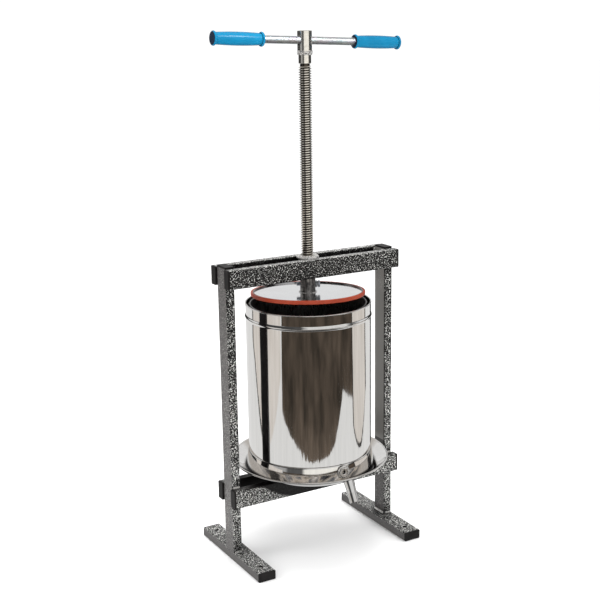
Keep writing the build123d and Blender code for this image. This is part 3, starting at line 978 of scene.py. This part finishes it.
rock_axis = Vector((math.cos(PLATE_HEADING), math.sin(PLATE_HEADING), 0))
behind = Vector((-math.sin(PLATE_HEADING), math.cos(PLATE_HEADING), 0))
plate_origin = Vector((0, 0, PLATE_TOP)) - behind * (BOLT_HEIGHT * math.sin(PLATE_ROCK))
plate_matrix = Matrix.Translation(plate_origin) @ Matrix.Rotation(PLATE_ROCK, 4, rock_axis)
points, faces = ring_bead(17.4 * MM, 0.9 * MM, 1.9 * MM, 0.32, 21.0, plate_matrix)
make_piece("plate_weld", points, faces, "piston", "weld_metal", ["piston_hub_weld"])

points, faces = join(
    [
        ring_bead(13.7 * MM, NECK_TOP - 0.3 * MM, 1.9 * MM, 0.45, 30.0),
        ring_bead(13.9 * MM, NECK_TOP + 2.6 * MM, 2.1 * MM, 0.50, 34.0),
        ring_bead(13.6 * MM, NECK_TOP + 5.4 * MM, 2.0 * MM, 0.55, 38.0),
    ]
)
make_piece("hub_weld", points, faces, "screw", "weld_metal", ["hub_weld_bead"])


# ------------------------------------------------------------------ retaining bolt
def bolt_pieces():
    """Threaded bolt with a hexagon head, and its lock nut, across the sleeve."""
    plate_up = plate_matrix.to_3x3() @ Vector((0, 0, 1))
    aside = plate_up.cross(rock_axis)
    centre = plate_origin + plate_up * BOLT_HEIGHT + aside * BOLT_OFFSET
    turn = Matrix((aside, plate_up, rock_axis)).transposed()
    along_bolt = Matrix.Translation(centre) @ turn.to_4x4()

    def turned(name, profile, closed, hex_above, node):
        """Turned part along the bolt, its outside six-sided above a height."""
        points, faces = lathe(profile, 48, closed)
        for point in points:
            if point.z > hex_above and math.hypot(point.x, point.y) > HEX_FROM_R:
                angle = math.atan2(point.y, point.x) % math.radians(60.0)
                flat = math.cos(math.radians(30.0)) / math.cos(angle - math.radians(30.0))
                point.x *= flat
                point.y *= flat
        points = [along_bolt @ point for point in points]
        make_piece(name, points, faces, "piston", "zinc", [node])

    shank = [(0.0, -24.2 * MM), (3.0 * MM, -24.2 * MM)]
    for groove in range(7):
        z = (-23.6 + groove) * MM
        shank += [(BOLT_R, z), (BOLT_ROOT_R, z + 0.5 * MM)]
    shank += [
        (BOLT_R, -16.4 * MM),
        (BOLT_R, 21.4 * MM),
        (HEX_EDGE_R, 21.5 * MM),
        (HEX_R, 22.1 * MM),
        (HEX_R, 25.4 * MM),
        (HEX_CROWN_R, 26.5 * MM),
        (0.0, 26.6 * MM),
    ]
    nut = [
        (NUT_BORE_R, 16.4 * MM),
        (HEX_EDGE_R, 16.4 * MM),
        (HEX_R, 17.0 * MM),
        (HEX_R, 19.6 * MM),
        (HEX_CROWN_R, 20.5 * MM),
        (NUT_BORE_R, 20.6 * MM),
    ]
    turned("bolt", shank, False, 21.2 * MM, "retaining_bolt")
    turned("bolt_nut", nut, True, 0.0, "lock_nut")


bolt_pieces()

# ------------------------------------------------------------------ outlet at the stand's front
outlet_low, outlet_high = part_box("stand_outlet")
outlet_z = (outlet_low.z + outlet_high.z) / 2
turn_front = Matrix.Translation(Vector((0, outlet_low.y, outlet_z))) @ Matrix.Rotation(
    math.radians(90), 4, "X"
)


def outlet_boss():
    """Short outlet stub, hammered out of round where it is welded in."""
    outer = OUTLET_R
    bore = OUTLET_BORE_R
    back = outlet_low.y - outlet_high.y
    profile = [
        (bore, back),
        (bore, -1.2 * MM),
        (bore + 0.8 * MM, -0.2 * MM),
        (bore + 2.2 * MM, 0.3 * MM),
        (outer - 2.6 * MM, 0.3 * MM),
        (outer - 1.0 * MM, -0.3 * MM),
        (outer, -1.6 * MM),
        (outer, back),
    ]

    def push(angle, z):
        spot = Vector((2.6 * math.cos(angle), 2.6 * math.sin(angle), 160.0 * z))
        return 0.9 * MM * noise.noise(spot + Vector((7.0, 3.0, 1.0)))

    points, faces = lathe(profile, 64, True, push)
    points = [turn_front @ point for point in points]
    make_piece("outlet_boss", points, faces, "frame", "polished_steel", ["stand_outlet"])


outlet_boss()
points, faces = join(
    [
        ring_bead(12.3 * MM, -3.2 * MM, 2.2 * MM, 0.60, 40.0, turn_front),
        ring_bead(9.2 * MM, -0.4 * MM, 1.3 * MM, 0.70, 47.0, turn_front),
    ]
)
make_piece("outlet_weld", points, faces, "frame", "weld_metal")

# ------------------------------------------------------------------ stage
CAMERA_AT = Vector((-1.19419, -2.04691, 1.13133))
CAMERA_AZIMUTH = math.radians(-29.84)
CAMERA_ELEVATION = math.radians(13.67)
CAMERA_ROLL = math.radians(-0.86)
CAMERA_LENS = 67.645
FLOOR_HALF = 26.0


def make_camera():
    level = math.cos(CAMERA_ELEVATION)
    back = Vector((math.sin(CAMERA_AZIMUTH), -math.cos(CAMERA_AZIMUTH), 0)) * level
    back.z = math.sin(CAMERA_ELEVATION)
    right = Vector((math.cos(CAMERA_AZIMUTH), math.sin(CAMERA_AZIMUTH), 0))
    up = back.cross(right)
    cos_roll = math.cos(CAMERA_ROLL)
    sin_roll = math.sin(CAMERA_ROLL)
    side = right * cos_roll + up * sin_roll
    top = up * cos_roll - right * sin_roll
    data = bpy.data.cameras.new("camera")
    data.sensor_width = 36.0
    data.lens = CAMERA_LENS
    data.clip_start = 0.05
    data.clip_end = 60.0
    camera = bpy.data.objects.new("camera", data)
    turn = Matrix((side, top, back)).transposed()
    camera.matrix_world = Matrix.Translation(CAMERA_AT) @ turn.to_4x4()
    bpy.context.scene.collection.objects.link(camera)
    bpy.context.scene.camera = camera


def area_light(name, position, target, width, height, power, glossy=False):
    data = bpy.data.lights.new(name, "AREA")
    data.shape = "RECTANGLE"
    data.size = width
    data.size_y = height
    data.energy = power
    light = bpy.data.objects.new(name, data)
    light.location = position
    aim = Vector(target) - Vector(position)
    light.rotation_euler = aim.to_track_quat("-Z", "Y").to_euler()
    light.visible_glossy = glossy
    bpy.context.scene.collection.objects.link(light)
    return light


def stage_object(name, points, faces, material):
    mesh = bpy.data.meshes.new(name)
    mesh.from_pydata([tuple(point) for point in points], [], faces)
    mesh.materials.append(material)
    thing = bpy.data.objects.new(name, mesh)
    bpy.context.scene.collection.objects.link(thing)
    return thing


def floor_material():
    mat, tree, skin = blank("pale_floor")
    here = place(tree)
    cloud = noise_tex(tree, here, 1.6, 3.0)
    color = ramp(tree, cloud, [(0.3, (0.96, 0.96, 0.96)), (0.7, (0.98, 0.98, 0.98))])
    fill(tree, skin, color=color, rough=0.9, specular=0.0)
    return mat


def card_material(name, dark, light, around, along, glow=1.0):
    """Streaked card material, brighter by glow near the press. UV is heading and distance."""
    mat, tree, skin = blank(name)
    coord = add(tree, "ShaderNodeTexCoord")
    mapping = add(tree, "ShaderNodeMapping", {"Vector": coord.outputs["UV"]})
    mapping.inputs["Scale"].default_value = (around, along, 1.0)
    streaks = noise_tex(tree, mapping.outputs["Vector"], 1.0, 5.0, 0.6)
    strength = remap(tree, xyz(tree, coord.outputs["UV"])["Y"], 0.70, 1.15, glow, 1.0)
    color = ramp(tree, streaks, [(0.32, dark), (0.70, light)])
    shine = add(tree, "ShaderNodeEmission", {"Color": color, "Strength": strength})
    tree.links.new(shine.outputs[0], tree.nodes["Material Output"].inputs["Surface"])
    tree.nodes.remove(skin)
    return mat


make_camera()
floor_corners = [(-1, -1), (1, -1), (1, 1), (-1, 1)]
floor_points = [(FLOOR_HALF * x, FLOOR_HALF * y, 0) for x, y in floor_corners]
floor = stage_object("floor", floor_points, [(0, 1, 2, 3)], floor_material())
floor.visible_glossy = False


def reflected_card(name, start, stop, near, far, material, ragged, lift):
    """Strip on the floor, from a heading to another as seen from the axis (degrees from
    the camera's side), that only reflections show."""
    steps = int((stop - start) / 0.35)
    points = []
    faces = []
    uv = []
    camera_heading = math.atan2(CAMERA_AT.y, CAMERA_AT.x)
    for index in range(steps + 1):
        share = index / steps
        angle = start + (stop - start) * share
        heading = camera_heading + math.radians(angle)
        coarse = noise.noise(Vector((angle * 0.35, 3.0, 0)))
        fine = noise.noise(Vector((angle * 1.3, 7.0, 0)))
        reach = near(angle) + ragged * (coarse + 0.7 * fine)
        for distance in (reach, far):
            points.append((distance * math.cos(heading), distance * math.sin(heading), lift * MM))
            uv.append((share, distance))
        if index:
            base = 2 * index
            faces.append((base - 2, base, base + 1, base - 1))
    card = stage_object(name, points, faces, material)
    layer = card.data.uv_layers.new(name="UVMap")
    for loop in card.data.loops:
        layer.data[loop.index].uv = uv[loop.vertex_index]
    card.visible_camera = False
    card.visible_diffuse = False
    card.visible_shadow = False


def panel_near(angle):
    """The dark screen's near edge: a round tongue towards the press, then a notch."""
    if angle > 62.0:
        return 1.26 - 0.0045 * (angle - 62.0)
    reach = abs(angle - 15.0)
    bend = 0.0000125 if angle < 15.0 else 0.0000300
    return 0.715 + bend * reach**2.5 + 0.012 * max(0.0, angle - 50.0)


def side_near(middle, reach):
    """A side screen's near edge, pointed in the middle."""

    def near(angle):
        return reach + 0.00075 * (angle - middle) ** 2

    return near


brown = card_material("studio_dark", (0.030, 0.025, 0.020), (0.120, 0.093, 0.072), 9.0, 1.3, 1.9)
beige = card_material("studio_beige", (0.66, 0.61, 0.56), (0.80, 0.76, 0.72), 16.0, 1.2)
line = card_material("studio_line", (0.02, 0.02, 0.02), (0.05, 0.045, 0.04), 4.0, 1.0)
reflected_card("dark_card", -48.0, 82.0, panel_near, 3.3, brown, 0.03, 4.0)
reflected_card("left_card", -117.0, -50.0, side_near(-80.0, 0.76), 4.5, beige, 0.012, 3.0)
reflected_card("left_line", -120.0, -74.0, side_near(-82.0, 0.735), 4.5, line, 0.012, 2.0)
reflected_card("right_card", 84.0, 121.0, side_near(98.0, 0.76), 4.5, beige, 0.012, 3.0)
reflected_card("right_line", 82.0, 124.0, side_near(98.0, 0.725), 4.5, line, 0.012, 2.0)


def studio_glow(tree, direction):
    """What polished metal sees: a bright floor, mixed screens round it, a streaky ceiling."""
    toward = dot_with(tree, direction, (math.sin(CAMERA_AZIMUTH), -math.cos(CAMERA_AZIMUTH), 0))
    right = dot_with(tree, direction, (math.cos(CAMERA_AZIMUTH), math.sin(CAMERA_AZIMUTH), 0))
    heading = maths(tree, "ARCTAN2", right, toward)
    around = remap(tree, heading, -math.pi, math.pi, 0.0, 1.0)
    screens = ramp(
        tree,
        around,
        [
            (0.0, 0.03),
            (0.285, 0.03),
            (0.300, 0.42),
            (0.372, 0.40),
            (0.388, 0.10),
            (0.460, 0.10),
            (0.476, (1.0, 0.98, 0.93)),
            (0.686, (1.0, 0.98, 0.93)),
            (0.705, 0.04),
            (1.0, 0.03),
        ],
    )
    upper = ramp(
        tree,
        around,
        [
            (0.0, 0.80),
            (0.20, 0.80),
            (0.27, 0.05),
            (0.46, 0.07),
            (0.50, 0.75),
            (0.70, 0.75),
            (0.73, 0.05),
            (0.80, 0.80),
            (1.0, 0.80),
        ],
    )
    rise = maths(tree, "ARCSINE", xyz(tree, direction)["Z"])
    height = maths(tree, "MULTIPLY", rise, math.degrees(1.0))
    bands = add(tree, "ShaderNodeCombineXYZ")
    plug(tree, bands.inputs["X"], maths(tree, "MULTIPLY", around, 5.0))
    plug(tree, bands.inputs["Y"], maths(tree, "MULTIPLY", height, 0.16))
    streaks = noise_tex(tree, bands.outputs[0], 1.0, 2.0, 0.5)
    ceiling = ramp(
        tree,
        streaks,
        [
            (0.36, 0.02),
            (0.43, (0.10, 0.10, 0.11)),
            (0.47, (0.42, 0.37, 0.31)),
            (0.53, (0.70, 0.63, 0.56)),
            (0.57, (0.09, 0.10, 0.12)),
            (0.66, (0.85, 0.80, 0.75)),
        ],
    )
    # each look takes over between two heights above the horizon, in degrees
    layers = [
        (-52.0, -38.0, (0.82, 0.82, 0.815)),
        (-13.5, -12.0, screens),
        (1.0, 4.0, upper),
        (30.0, 36.0, (0.55, 0.52, 0.49)),
        (46.0, 56.0, ceiling),
    ]
    glow = (0.03, 0.028, 0.028)
    for start, full, look in layers:
        glow = mix(tree, remap(tree, height, start, full, 0.0, 1.0), glow, look)
    return glow


def make_world():
    world = bpy.data.worlds.new("studio")
    bpy.context.scene.world = world
    world.use_nodes = True
    tree = world.node_tree
    tree.nodes.clear()
    out = tree.nodes.new("ShaderNodeOutputWorld")
    path = tree.nodes.new("ShaderNodeLightPath")
    coord = tree.nodes.new("ShaderNodeTexCoord")
    glow = studio_glow(tree, coord.outputs["Generated"])
    seen = mix(tree, path.outputs["Is Glossy Ray"], (1.06, 1.06, 1.06), glow)
    back = add(tree, "ShaderNodeBackground", {"Color": seen, "Strength": 1.0})
    tree.links.new(back.outputs[0], out.inputs["Surface"])


make_world()
area_light("key", (2.3, -2.1, 2.3), (0, 0, 0.5), 1.6, 1.6, 30.0)
area_light("left_fill", (-2.6, 0.3, 1.6), (0, 0, 0.6), 1.2, 1.8, 25.0)
area_light("top", (0.2, 0.6, 3.2), (0, 0, 0.3), 2.0, 2.0, 60.0)
glint = area_light("grip_glint", (0.38, -0.84, 1.76), (-0.16, 0, 1.1), 0.20, 0.26, 6.5, True)
glint_only = bpy.data.collections.new("glint_only")
glint_only.objects.link(nodes["left_grip"])
glint_only.objects.link(nodes["handle_bar"])
glint.light_linking.receiver_collection = glint_only

scene = bpy.context.scene
scene.view_settings.view_transform = "Standard"
scene.view_settings.look = "None"
